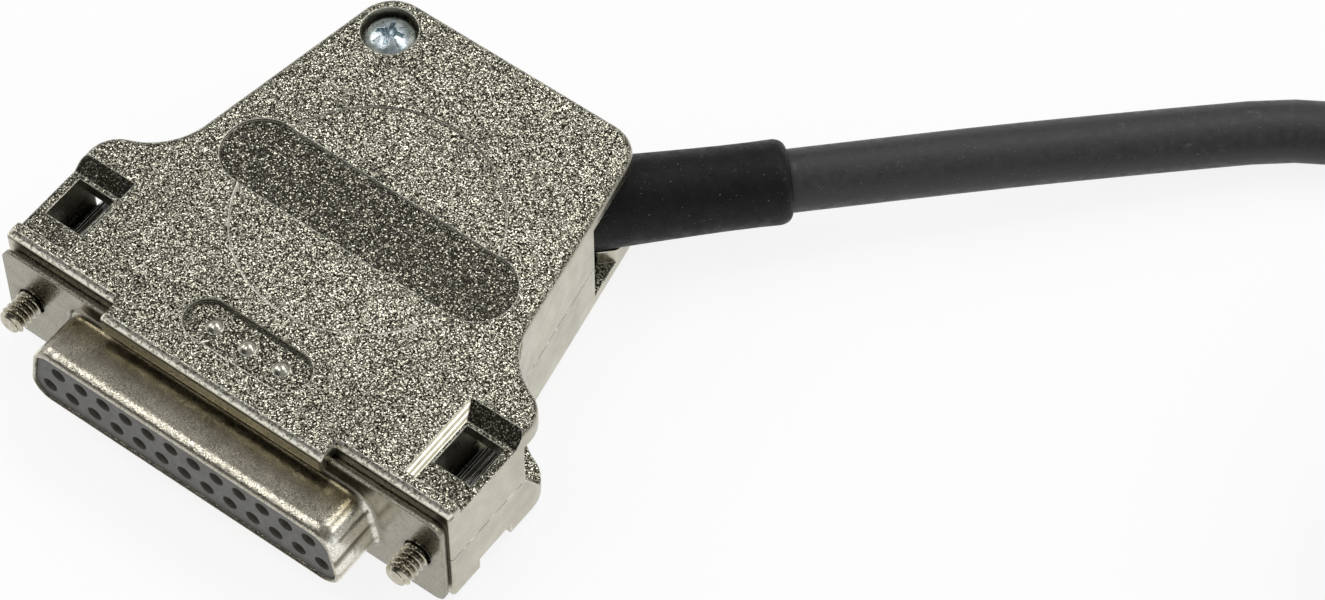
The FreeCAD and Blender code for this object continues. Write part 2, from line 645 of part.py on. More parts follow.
def make_grip():
    start = COLLAR_FRONT_Y + COLLAR_T
    length = GRIP_END_Y - start
    body = rod(GRIP_R, V(SCREW_X, start + GRIP_CHAMFER, 0), AXIS_Y, length - 2 * GRIP_CHAMFER)
    front = Part.makeCone(GRIP_R - GRIP_CHAMFER, GRIP_R, GRIP_CHAMFER, V(SCREW_X, start, 0), AXIS_Y)
    rear = Part.makeCone(GRIP_R, GRIP_R - GRIP_CHAMFER, GRIP_CHAMFER,
                         V(SCREW_X, GRIP_END_Y - GRIP_CHAMFER, 0), AXIS_Y)
    grip = body.fuse([front, rear]).removeSplitter()
    grooves = []
    for i in range(GRIP_RIBS):
        groove = box(-GROOVE_WIDTH / 2, GROOVE_WIDTH / 2, start - OVER, GRIP_END_Y + OVER,
                     GRIP_R - GROOVE_DEPTH, GRIP_R + OVER)
        groove.rotate(V(0, 0, 0), AXIS_Y, 360.0 * i / GRIP_RIBS)
        groove.translate(V(SCREW_X, 0, 0))
        grooves.append(groove)
    grip = grip.cut(Part.makeCompound(grooves))
    return grip.cut(rod(STEM_R, V(SCREW_X, start - OVER, 0), AXIS_Y, length + 2 * OVER))


def make_relief():
    # Turned along the cable: collar inside the wall, neck in the port, tapering sleeve.
    collar_s = PORT_S - PORT_WALL - RELIEF_GAP - RELIEF_COLLAR_T
    sleeve_s = PORT_S + RELIEF_GAP
    edge_s = RELIEF_END_S - RELIEF_EDGE
    collar = rod(RELIEF_COLLAR_R, along_cable(collar_s), CABLE_DIRECTION, RELIEF_COLLAR_T)
    neck_s = collar_s + RELIEF_COLLAR_T
    neck = rod(PORT_R - RELIEF_GAP, along_cable(neck_s), CABLE_DIRECTION, sleeve_s - neck_s)
    sleeve = Part.makeCone(RELIEF_R, RELIEF_END_R, edge_s - sleeve_s, along_cable(sleeve_s), CABLE_DIRECTION)
    edge = Part.makeCone(RELIEF_END_R, RELIEF_END_R - RELIEF_EDGE, RELIEF_EDGE, along_cable(edge_s),
                         CABLE_DIRECTION)
    relief = collar.fuse([neck, sleeve, edge])
    return relief.cut(rod(CABLE_R, along_cable(collar_s - OVER), CABLE_DIRECTION, FAR))


def make_clamp():
    # A saddle over the jacket with a foot each side.
    s0 = CLAMP_S - CLAMP_LENGTH / 2
    s1 = CLAMP_S + CLAMP_LENGTH / 2
    arch = rod(CABLE_R + CLAMP_T, along_cable(s0), CABLE_DIRECTION, CLAMP_LENGTH)
    arch = arch.cut(cable_box(s0 - OVER, s1 + OVER, -FAR / 2, FAR / 2, -FAR, CLAMP_FOOT_Z))
    foot = cable_box(s0, s1, -CLAMP_FOOT_HALF, CLAMP_FOOT_HALF, CLAMP_FOOT_Z, CLAMP_FOOT_Z + CLAMP_FOOT_T)
    clamp = arch.fuse(foot).removeSplitter()
    clamp = clamp.cut(rod(CABLE_R, along_cable(s0 - OVER), CABLE_DIRECTION, CLAMP_LENGTH + 2 * OVER))
    for side in (-CLAMP_SCREW_OFFSET, CLAMP_SCREW_OFFSET):
        clamp = clamp.cut(rod(CLAMP_SCREW_R + SHANK_GAP, along_cable(CLAMP_S, side, -FAR / 2), AXIS_Z, FAR))
    return clamp


def make_clamp_screw(side):
    seat = CLAMP_FOOT_Z + CLAMP_FOOT_T
    head = rod(CLAMP_HEAD_R, along_cable(CLAMP_S, side, seat), AXIS_Z, CLAMP_HEAD_H)
    start = along_cable(CLAMP_S, side, seat - CLAMP_SCREW_LENGTH)
    shank = rod(CLAMP_SCREW_R, start, AXIS_Z, CLAMP_SCREW_LENGTH)
    screw = head.fuse(shank).removeSplitter()
    half = CLAMP_SLOT_WIDTH / 2
    slot = cable_box(CLAMP_S - CLAMP_HEAD_R, CLAMP_S + CLAMP_HEAD_R, side - half, side + half,
                     seat + CLAMP_HEAD_H - CLAMP_SLOT_DEPTH, seat + CLAMP_HEAD_H + OVER)
    return screw.cut(slot)


def make_ferrule():
    start = along_cable(CABLE_START + FERRULE_SET)
    sleeve = rod(CABLE_R + FERRULE_T, start, CABLE_DIRECTION, FERRULE_LENGTH)
    return sleeve.cut(rod(CABLE_R, along_cable(CABLE_START), CABLE_DIRECTION, FAR))


def bent_bar(points, radius, sides):
    # A soft wire as a many-sided bar with mitred corners.
    ahead = (points[1] - points[0]).normalize()
    across = ahead.cross(AXIS_Z).normalize()
    corners = []
    for i in range(sides):
        a = 2 * math.pi * (i + 0.5) / sides
        corners.append(points[0] + across * (radius * math.cos(a)) + AXIS_Z * (radius * math.sin(a)))
    section = Part.makePolygon(corners + corners[:1])
    return Part.makePolygon(points).makePipeShell([section], True, False, 1)


def wire_places(count_by_level):
    # Places across the cable's end for one row's wires, ordered from left to right.
    places = []
    for level, count in enumerate(count_by_level):
        for i in range(count):
            if count == 2:
                column = 2 * i - 1
            else:
                column = i - (count - 1) / 2
            places.append((column, level))
    return sorted(places)


def make_wires():
    wires = []
    tail_y = INSULATOR_BACK_Y + TAIL_STEP + WIRE_TAIL_GAP
    leave_y = INSULATOR_BACK_Y + TAIL_LENGTH + WIRE_LEAVE
    rows = ((contact_places()[:LONG_ROW_COUNT], -1, wire_places([5, 5, 3])),
            (contact_places()[LONG_ROW_COUNT:], 1, wire_places([5, 5, 2])))
    for contacts, sign, places in rows:
        for (x, z), (column, level) in zip(contacts, places):
            side = column * WIRE_SPACING
            end_z = sign * (WIRE_LEVEL_Z + level * WIRE_SPACING)
            turn_x = WIRE_TURN_Y - AXIS_SHIFT + side * math.sqrt(2)
            wire_z = z + sign * WIRE_R
            points = [V(x, tail_y, wire_z), V(x, leave_y, wire_z), V(turn_x, WIRE_TURN_Y, end_z),
                      along_cable(CABLE_START, side, end_z)]
            wires.append(bent_bar(points, WIRE_R, WIRE_SIDES))
    return Part.makeCompound(wires)


def route_path(points):
    # Straight runs joined by tangent arcs as large as the runs allow.
    edges = []
    last = points[0]
    for i in range(1, len(points) - 1):
        point = points[i]
        back = points[i - 1] - point
        ahead = points[i + 1] - point
        turn = math.pi - back.getAngle(ahead)
        radius = 0.45 * min(back.Length, ahead.Length) / math.tan(turn / 2)
        reach = radius * math.tan(turn / 2)
        back.normalize()
        ahead.normalize()
        start = point + back * reach
        end = point + ahead * reach
        sag = radius / math.cos(turn / 2) - radius
        middle = point + (back + ahead).normalize() * sag
        print("route point %d turns %.1f degrees, radius %.1f" % (i, math.degrees(turn), radius))
        edges.append(Part.LineSegment(last, start).toShape())
        edges.append(Part.Arc(start, middle, end).toShape())
        last = end
    edges.append(Part.LineSegment(last, points[-1]).toShape())
    return Part.Wire(edges)


def make_cable(points):
    path = route_path(points)
    circle = Part.Wire(Part.makeCircle(CABLE_R, points[0], points[1] - points[0]))
    tube = path.makePipeShell([circle], True, False)
    print("cable tube length %.1f volume %.1f of %.1f"
          % (path.Length, tube.Volume, math.pi * CABLE_R ** 2 * path.Length))
    return tube


# The coil lies beyond the last point of the route, on the tie that holds it.
ARRIVAL = V(math.cos(math.radians(COIL_HEADING)), math.sin(math.radians(COIL_HEADING)), 0)
COIL_OUT_R = COIL_R + COIL_TURNS_ACROSS * CABLE_R
COIL_IN_R = COIL_R - COIL_TURNS_ACROSS * CABLE_R
COIL_LOW_Z = BOTTOM_Z + TIE_T + TIE_GAP
COIL_TOP_Z = COIL_LOW_Z + COIL_TURNS_UP * 2 * CABLE_R
JOIN = V(*ROUTE[-1]) + ARRIVAL * COIL_LEAD
JOIN.z = COIL_LOW_Z + CABLE_R
COIL_CENTRE = V(JOIN.x, JOIN.y, 0) + V(ARRIVAL.y, -ARRIVAL.x, 0) * (COIL_OUT_R - CABLE_R)


def turn_to(shape, angle):
    # From the coil's own frame, radius along +X, to its place.
    shape.rotate(V(0, 0, 0), AXIS_Z, angle)
    shape.translate(COIL_CENTRE)
    return shape


def ring_section(gap, bevel):
    # The section of the coil's bundle with bevelled corners, in its own frame.
    r0 = COIL_IN_R - gap
    r1 = COIL_OUT_R + gap
    z0 = COIL_LOW_Z - gap
    z1 = COIL_TOP_Z + gap
    points = [(r0 + bevel, z0), (r1 - bevel, z0), (r1, z0 + bevel), (r1, z1 - bevel),
              (r1 - bevel, z1), (r0 + bevel, z1), (r0, z1 - bevel), (r0, z0 + bevel)]
    return [(x, z, 0) for x, z in points]


def make_coil(tube):
    wire = rounded_wire([(V(x, 0, z), r) for x, z, r in ring_section(0, COIL_BEVEL)])
    ring = Part.Face(wire).revolve(V(0, 0, 0), AXIS_Z, 360)
    # The last turn, the inner one on top, ends early, and the stripped cores lie in its place.
    last_z = COIL_TOP_Z - 2 * CABLE_R
    end = Part.makeCylinder(COIL_IN_R + 2 * CABLE_R, FAR, V(0, 0, last_z), AXIS_Z, END_SECTOR)
    end.rotate(V(0, 0, 0), AXIS_Z, END_ANGLE)
    return turn_to(ring.cut(end), 0).cut(tube)


def make_tie():
    outer = front_profile(ring_section(TIE_GAP + TIE_T, COIL_BEVEL), -TIE_WIDTH / 2, TIE_WIDTH / 2)
    inner = front_profile(ring_section(TIE_GAP, COIL_BEVEL), -TIE_WIDTH, TIE_WIDTH)
    start_x = COIL_OUT_R + TIE_GAP + TIE_T / 2
    middle_z = (COIL_LOW_Z + COIL_TOP_Z) / 2
    head = box(start_x, start_x + TIE_HEAD, -TIE_HEAD_HALF, TIE_HEAD_HALF,
               middle_z - TIE_HEAD, middle_z + TIE_HEAD)
    tie = outer.cut(inner).fuse(head.cut(inner)).removeSplitter()
    return turn_to(tie, TIE_ANGLE)


def make_cores():
    # The stripped cores, one in the middle of the others, along the coil's curve.
    middle_r = COIL_IN_R + CABLE_R
    middle_z = COIL_TOP_Z - 2 * CABLE_R + CORE_GAP + 3 * CORE_R
    ring_r = 2 * CORE_R + CORE_GAP / 2
    spots = [(0.0, 0.0)]
    for i in range(CORE_COUNT - 1):
        a = 2 * math.pi * (i + 0.5) / (CORE_COUNT - 1)
        spots.append((ring_r * math.cos(a), ring_r * math.sin(a)))
    cores = []
    for i, (dr, dz) in enumerate(spots):
        sweep = END_SECTOR - END_SPARE_ANGLE - END_STEP_ANGLE * (i % 3)
        points = []
        for k in range(CORE_RUNS + 1):
            a = math.radians(-CORE_GAP_ANGLE - sweep * k / CORE_RUNS)
            points.append(V((middle_r + dr) * math.cos(a), (middle_r + dr) * math.sin(a), middle_z + dz))
        cores.append(bent_bar(points, CORE_R, CORE_SIDES))
    return turn_to(Part.makeCompound(cores), END_ANGLE + END_SECTOR)


def make_parts():
    save(make_upper_shell(), "upper_shell")
    save(make_lower_shell(), "lower_shell")
    save(make_front_shell(), "connector_front_shell")
    save(make_rear_shell(), "connector_rear_shell")
    save(make_insulator(), "connector_insulator")
    for number, (x, z) in enumerate(contact_places(), 1):
        save(make_contact(x, z), "socket_contact_%02d" % number)
    save(make_closing_screw(), "closing_screw")
    save(make_jackscrew(), "right_jackscrew")
    save(mirror_x(make_jackscrew()), "left_jackscrew")
    save(make_grip(), "right_jackscrew_grip")
    save(mirror_x(make_grip()), "left_jackscrew_grip")
    save(make_relief(), "cable_bend_relief")
    save(make_clamp(), "cable_clamp")
    screws = [make_clamp_screw(side) for side in (-CLAMP_SCREW_OFFSET, CLAMP_SCREW_OFFSET)]
    save(Part.makeCompound(screws), "cable_clamp_screws")
    save(make_ferrule(), "shield_ferrule")
    save(make_wires(), "inner_wires")
    points = [along_cable(CABLE_START), along_cable(RELIEF_END_S + STRAIGHT_BEYOND)]
    points = points + [V(*p) for p in ROUTE] + [JOIN]
    tube = make_cable(points)
    save(tube, "cable")
    save(make_coil(tube), "cable_coil")
    save(make_tie(), "cable_tie")
    save(make_cores(), "cable_end_cores")


make_parts()
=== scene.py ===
import math

import bmesh
import bpy
from mathutils import Matrix, Vector


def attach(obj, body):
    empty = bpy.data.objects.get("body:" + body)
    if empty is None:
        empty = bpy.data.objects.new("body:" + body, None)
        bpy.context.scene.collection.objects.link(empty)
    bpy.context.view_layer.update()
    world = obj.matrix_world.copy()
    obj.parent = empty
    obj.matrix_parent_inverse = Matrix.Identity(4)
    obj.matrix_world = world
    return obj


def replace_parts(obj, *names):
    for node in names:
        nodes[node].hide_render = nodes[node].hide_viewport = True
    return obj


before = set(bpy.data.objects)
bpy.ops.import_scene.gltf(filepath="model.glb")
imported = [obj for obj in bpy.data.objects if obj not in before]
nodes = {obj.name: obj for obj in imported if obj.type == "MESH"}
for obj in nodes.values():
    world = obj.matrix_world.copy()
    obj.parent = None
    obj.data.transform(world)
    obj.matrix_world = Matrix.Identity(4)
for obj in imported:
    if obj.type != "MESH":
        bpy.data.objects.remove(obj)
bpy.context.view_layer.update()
MM = 0.001

# Camera: the photograph's viewing angle, on a 36 mm wide sensor, with its place in metres.
VIEW_AZIMUTH = math.radians(36.59)
VIEW_ELEVATION = math.radians(55.90)
FOCAL_LENGTH = 126.8
SENSOR_WIDTH = 36.0
CAMERA_PLACE = Vector((0.17429, -0.16514, 0.37016))

camera_data = bpy.data.cameras.new("camera")
camera_data.lens = FOCAL_LENGTH
camera_data.sensor_width = SENSOR_WIDTH
camera_data.clip_start = 0.01
camera = bpy.data.objects.new("camera", camera_data)
bpy.context.scene.collection.objects.link(camera)
flat = math.cos(VIEW_ELEVATION)
right = Vector((math.cos(VIEW_AZIMUTH), math.sin(VIEW_AZIMUTH), 0))
back = Vector((math.sin(VIEW_AZIMUTH) * flat, -math.cos(VIEW_AZIMUTH) * flat,
               math.sin(VIEW_ELEVATION)))
placed = Matrix((right, back.cross(right), back)).transposed().to_4x4()
placed.translation = CAMERA_PLACE
camera.matrix_world = placed
bpy.context.scene.camera = camera
bpy.context.scene.view_settings.view_transform = "Standard"


# Small helpers that add nodes to a tree one by one. Each returns the new node's output.
class Nodes:
    def __init__(self, tree):
        self.tree = tree

    def put(self, value, socket):
        if isinstance(value, (int, float)):
            socket.default_value = value
        elif isinstance(value, (tuple, list)):
            missing = len(socket.default_value) - len(value)
            socket.default_value = tuple(value) + (1.0,) * missing
        else:
            self.tree.links.new(value, socket)

    def source(self, kind, output):
        return self.tree.nodes.new("ShaderNode" + kind).outputs[output]

    def math(self, operation, a, b=0.0):
        node = self.tree.nodes.new("ShaderNodeMath")
        node.operation = operation
        for value, socket in zip((a, b), node.inputs):
            self.put(value, socket)
        return node.outputs[0]

    def add(self, a, b):
        return self.math("ADD", a, b)

    def minus(self, a, b):
        return self.math("SUBTRACT", a, b)

    def times(self, first, *others):
        for value in others:
            first = self.math("MULTIPLY", first, value)
        return first

    def larger(self, a, b):
        return self.math("MAXIMUM", a, b)

    def smaller(self, a, b):
        return self.math("MINIMUM", a, b)

    def size(self, value):
        return self.math("ABSOLUTE", value)

    def distance(self, a, b):
        return self.math("SQRT", self.add(self.times(a, a), self.times(b, b)))

    # A sine wave of the given pitch, in millimetres.
    def ripple(self, value, pitch):
        return self.math("SINE", self.times(value, 2 * math.pi / (pitch * MM)))

    def vector(self, operation, a, b=(0.0, 0.0, 0.0)):
        node = self.tree.nodes.new("ShaderNodeVectorMath")
        node.operation = operation
        self.put(a, node.inputs[0])
        self.put(b, node.inputs[1])
        return node.outputs["Value" if operation == "DOT_PRODUCT" else "Vector"]

    def split(self, vector):
        node = self.tree.nodes.new("ShaderNodeSeparateXYZ")
        self.put(vector, node.inputs[0])
        return node.outputs

    # Smooth steps: from 0 to 1, or between other values, while the value goes from low to high.
    def span(self, value, low, high, to_low=0.0, to_high=1.0):
        node = self.tree.nodes.new("ShaderNodeMapRange")
        node.interpolation_type = "SMOOTHSTEP"
        for given, socket in zip((value, low, high, to_low, to_high), node.inputs):
            self.put(given, socket)
        return node.outputs[0]

    # 1 below or above a border, both in millimetres, over a soft width.
    def inside(self, value, border, soft):
        return self.span(value, border * MM, (border - soft) * MM)

    def beyond(self, value, border, soft):
        return self.span(value, border * MM, (border + soft) * MM)

    def near(self, value, target, border, soft):
        return self.inside(self.size(self.minus(value, target * MM)), border, soft)

    # A noise's middle range, spread between two numbers or two colours.
    def between(self, value, low, high):
        return self.span(value, 0.3, 0.7, low, high)

    def shades(self, value, dark, light):
        return self.ramp(value, [(0.3, dark), (0.7, light)])

    def number(self, factor, a, b):
        return self.add(a, self.times(factor, self.minus(b, a)))

    def blend(self, factor, a, b, kind="MIX"):
        node = self.tree.nodes.new("ShaderNodeMix")
        node.data_type = "RGBA"
        node.blend_type = kind
        self.put(factor, node.inputs[0])
        self.put(a, node.inputs[6])
        self.put(b, node.inputs[7])
        return node.outputs[2]

    def ramp(self, factor, stops, constant=False):
        node = self.tree.nodes.new("ShaderNodeValToRGB")
        band = node.color_ramp
        band.interpolation = "CONSTANT" if constant else "LINEAR"
        while len(band.elements) < len(stops):
            band.elements.new(0.5)
        for element, (at, colour) in zip(band.elements, stops):
            element.position = at
            element.color = tuple(colour) + (1.0,)
        self.put(factor, node.inputs[0])
        return node.outputs[0]


class Surface(Nodes):
    def __init__(self, name):
        self.material = bpy.data.materials.new(name)
        self.material.use_nodes = True
        super().__init__(self.material.node_tree)
        self.shader = self.tree.nodes["Principled BSDF"]
        self.place = self.source("TexCoord", "Object")
        self.normal = self.source("NewGeometry", "Normal")

    def noise(self, scale, detail=2.0, roughness=0.5, place=None):
        node = self.tree.nodes.new("ShaderNodeTexNoise")
        self.put(self.place if place is None else place, node.inputs["Vector"])
        node.inputs["Scale"].default_value = scale
        node.inputs["Detail"].default_value = detail
        node.inputs["Roughness"].default_value = roughness
        return node.outputs["Fac"]

    def stretched_noise(self, scale, detail=2.0, roughness=0.5):
        node = self.tree.nodes.new("ShaderNodeMapping")
        self.put(self.place, node.inputs["Vector"])
        node.inputs["Scale"].default_value = scale
        return self.noise(1.0, detail, roughness, node.outputs[0])

    def cells(self, scale):
        node = self.tree.nodes.new("ShaderNodeTexVoronoi")
        self.put(self.place, node.inputs["Vector"])
        node.inputs["Scale"].default_value = scale
        return node.outputs["Color"]

    def grains(self, scale):
        return self.split(self.cells(scale))[0]

    # Each grain leans its own way, up to the given tilt.
    def facets(self, scale, tilt, under):
        centred = self.vector("SUBTRACT", self.cells(scale), (0.5, 0.5, 0.5))
        lean = self.vector("MULTIPLY", centred, tilt)
        return self.vector("NORMALIZE", self.vector("ADD", under, lean))

    def leaned(self, normal, along_y, along_z=0.0):
        node = self.tree.nodes.new("ShaderNodeCombineXYZ")
        self.put(along_y, node.inputs[1])
        self.put(along_z, node.inputs[2])
        return self.vector("NORMALIZE", self.vector("ADD", normal, node.outputs[0]))

    # Ambient occlusion, used to paint shade into gaps, corners and hollows.
    def occlusion_for_shade(self, distance):
        node = self.tree.nodes.new("ShaderNodeAmbientOcclusion")
        node.samples = 6
        node.inputs["Distance"].default_value = distance
        return node.outputs["AO"]

    def bump(self, height, distance, strength, under=None):
        node = self.tree.nodes.new("ShaderNodeBump")
        node.inputs["Strength"].default_value = strength
        node.inputs["Distance"].default_value = distance
        self.put(height, node.inputs["Height"])
        if under is not None:
            self.put(under, node.inputs["Normal"])
        return node.outputs[0]

    def soft_edge(self, radius):
        node = self.tree.nodes.new("ShaderNodeBevel")
        node.samples = 6
        node.inputs["Radius"].default_value = radius
        return node.outputs[0]

    # 1 where the softened edges turn away from the true faces: where painted edge highlights go.
    def painted_edge_highlight(self, edge_normal, least):
        return self.span(self.vector("DOT_PRODUCT", edge_normal, self.normal), 0.985, least)

    def set(self, **values):
        for name, value in values.items():
            self.put(value, self.shader.inputs[name.replace("_", " ")])
        return self.material


# Places on the hood in millimetres, as in the solids.
DISC_Y = 22.7
DISC_R = 13.2
BAND_END_X = 13.1
BAND_R = 4.0
PILL_Y = 4.75
PILL_END_X = 4.85
PILL_R = 2.35
DOME_STEP = 4.0
DOME_R = 0.95
POCKET_X = 20.1
SLOPE_END_X = 21.15
POCKET_BACK_Y = 10.8
LIP_HALF_X = 13.4
LIP_FRONT_Y = -1.0
EAR_FRONT_Y = 1.1
EDGE_DEPTH = 0.8

HOOD_GRAIN = 9300
LINE_PAINTED_HIGHLIGHT = (0.95, 0.93, 0.80)
LINE_PAINTED_HALF_SHADE = (0.40, 0.385, 0.31)


# Cast and plated housing: a sandy grain on the faces that look up or down, satin walls.
def hood_surface():
    s = Surface("hood_nickel")
    x, y, z = s.split(s.place)
    normal_x, normal_y, normal_z = s.split(s.normal)
    up = s.size(normal_z)
    grainy = s.span(up, 0.35, 0.75)
    edge_normal = s.soft_edge(0.26 * MM)

    # The long band and the pill are finer than the rest of the top, and painted darker, as shade
    # in their recesses.
    ax = s.size(x)
    disc_y = s.minus(y, DISC_Y * MM)
    pill_y = s.minus(y, PILL_Y * MM)
    band = s.distance(s.larger(s.minus(ax, BAND_END_X * MM), 0.0), disc_y)
    pill = s.distance(s.larger(s.minus(ax, PILL_END_X * MM), 0.0), pill_y)
    top = s.beyond(z, 6.9, 0.2)
    in_band = s.times(s.inside(band, BAND_R, 0.15), top)
    in_pill = s.times(s.inside(pill, PILL_R, 0.1), top)

    # The three domes are polished.
    dome_x = s.smaller(ax, s.size(s.minus(ax, DOME_STEP * MM)))
    in_dome = s.times(s.inside(s.distance(dome_x, pill_y), DOME_R, 0.15), in_pill)

    # The ears' pockets get painted shade on their floors and back walls. Their inner walls slope,
    # and get painted highlights in a few lines along their length.
    pocket = s.times(s.beyond(ax, POCKET_X, 0.2), s.inside(z, 7.76, 0.04), s.beyond(z, 6.2, 0.15))
    floors = s.times(grainy, pocket, s.inside(z, 6.9, 0.3))
    back_wall = s.times(s.span(normal_y, -0.4, -0.55), s.beyond(y, POCKET_BACK_Y, 0.2), pocket)
    slope = s.times(s.span(s.size(normal_x), 0.5, 0.8), pocket, s.inside(ax, SLOPE_END_X, 0.1))

    # The grains run from near black to near white: the sand's own grain, with painted glints on
    # the brightest.
    sand = s.add(s.times(s.grains(HOOD_GRAIN), 0.9), s.times(s.noise(5200, 2.0, 0.7), 0.1))
    sand_grain_and_glints = s.ramp(sand, [(0.18, (0.018, 0.016, 0.010)), (0.45, (0.12, 0.114, 0.083)),
                                (0.65, (0.365, 0.349, 0.272)), (0.83, (0.90, 0.87, 0.71))])
    smooth_faces = s.shades(s.noise(420, 3.0), (0.50, 0.475, 0.385), (0.585, 0.56, 0.46))
    colour = s.blend(grainy, smooth_faces, sand_grain_and_glints)
    shade = s.between(s.noise(110, 3.0, 0.55), 0.86, 1.06)
    shade = s.ramp(shade, [(0.0, (0, 0, 0)), (1.0, (1, 1, 1))])
    colour = s.blend(1.0, colour, shade, "MULTIPLY")
    # Painted shade in the band, the pill and the pockets' floors and back walls; the brightest
    # grains keep their painted glints.
    dark = s.larger(s.times(in_band, 0.82), s.times(in_pill, 0.45))
    dark = s.larger(dark, s.larger(s.times(floors, 0.62), s.times(back_wall, 0.9)))
    dark = s.times(dark, s.span(sand, 0.80, 0.88, 1.0, 0.35))
    colour = s.blend(dark, colour, (0.045, 0.041, 0.030))
    colour = s.blend(s.times(in_dome, 0.9), colour, (0.66, 0.64, 0.54))
    # Painted highlight along the softened edges.
    colour = s.blend(s.times(s.painted_edge_highlight(edge_normal, 0.85), 0.7), colour, (0.98, 0.96, 0.85))

    # The disc's fine step gets painted shade on its far side and a painted highlight on its near
    # side.
    disc = s.distance(x, disc_y)
    step = s.times(s.near(disc, DISC_R, 0.17, 0.1), grainy, s.minus(top, in_band))
    step = s.times(step, s.span(s.noise(330), 0.40, 0.52, 0.25, 0.85))
    side = s.math("DIVIDE", s.minus(s.times(disc_y, 0.9), s.times(x, 0.25)), disc)
    side = s.ramp(side, [(0.0, LINE_PAINTED_HIGHLIGHT), (0.45, LINE_PAINTED_HALF_SHADE), (0.9, (0.05, 0.046, 0.032))])
    colour = s.blend(step, colour, side)

    # The pill's rim gets painted shade above and a painted highlight below.
    rim = s.times(s.near(pill, PILL_R - 0.03, 0.15, 0.09), grainy, top, 0.8)
    side = s.add(s.add(s.times(pill_y, 260.0), s.times(x, -50.0)), 0.5)
    side = s.ramp(side, [(0.05, LINE_PAINTED_HIGHLIGHT), (0.5, LINE_PAINTED_HALF_SHADE), (0.85, (0.04, 0.037, 0.026))])
    colour = s.blend(rim, colour, side)

    # The front edges of the lip and the ears get a sparkling painted highlight line, with a
    # painted shade line below.
    front_y = s.number(s.beyond(ax, LIP_HALF_X, 0.1), LIP_FRONT_Y * MM, EAR_FRONT_Y * MM)
    edge = s.times(s.inside(s.minus(y, front_y), EDGE_DEPTH, 0.25), s.beyond(z, 5.8, 0.4))
    below = s.times(edge, s.span(up, 0.3, 0.2), s.beyond(z, 6.7, 0.3))
    edge = s.times(edge, s.span(up, 0.3, 0.55))
    edge_sparkle_highlight = s.ramp(s.grains(5200), [(0.15, (0.35, 0.33, 0.25)), (0.40, (1.0, 0.97, 0.85))])
    colour = s.blend(s.times(edge, 0.9), colour, edge_sparkle_highlight)
    colour = s.blend(s.times(below, 0.75), colour, (0.05, 0.045, 0.032))

    # The two halves meet in a fine dark line with bright beads.
    wander = s.times(s.noise(300), 0.02 * MM)
    parting = s.times(s.near(s.add(z, wander), 0.0, 0.10, 0.07), s.minus(1.0, grainy))
    beads = s.ramp(s.noise(650), [(0.50, (0.05, 0.047, 0.04)), (0.58, (0.98, 0.96, 0.88))])
    colour = s.blend(s.times(parting, 0.85), colour, beads)
    # Painted shade in corners and hollows, from ambient occlusion.
    corner_shade = s.times(s.span(s.occlusion_for_shade(0.55 * MM), 0.92, 0.5), s.number(grainy, 0.4, 0.8))
    colour = s.blend(corner_shade, colour, (0.035, 0.032, 0.024))
    # Painted highlight lines on the pockets' sloping inner walls.
    lines = s.ramp(s.ripple(z, 0.52), [(0.0, (0.34, 0.32, 0.24)), (0.5, (0.95, 0.92, 0.78))])
    colour = s.blend(slope, colour, lines)

    calm = s.minus(1.0, s.times(in_dome, 0.9))
    height = s.add(s.times(sand, grainy, calm), s.times(s.noise(420), 0.5))
    height = s.minus(height, s.times(parting, 0.6))
    rough = s.number(grainy, s.between(s.noise(700, 3.0), 0.24, 0.34), 0.30)
    rough = s.minus(rough, s.times(in_dome, 0.06))
    tilt = s.times(grainy, calm, s.number(edge, 0.46, 0.14))
    leaned = s.leaned(edge_normal, s.times(edge, -0.36), s.times(slope, 0.9))
    return s.set(Base_Color=colour, Metallic=1.0, Roughness=rough,
                 Normal=s.facets(HOOD_GRAIN, tilt, s.bump(height, 0.03 * MM, 0.8, leaned)))


# Where the socket's wall begins to roll in, and the flange's front face, in millimetres.
ROLL_Y = -4.1
ROLL_WIDTH = 1.6
FLANGE_Y = -0.3
TIN_GRAIN = 8600


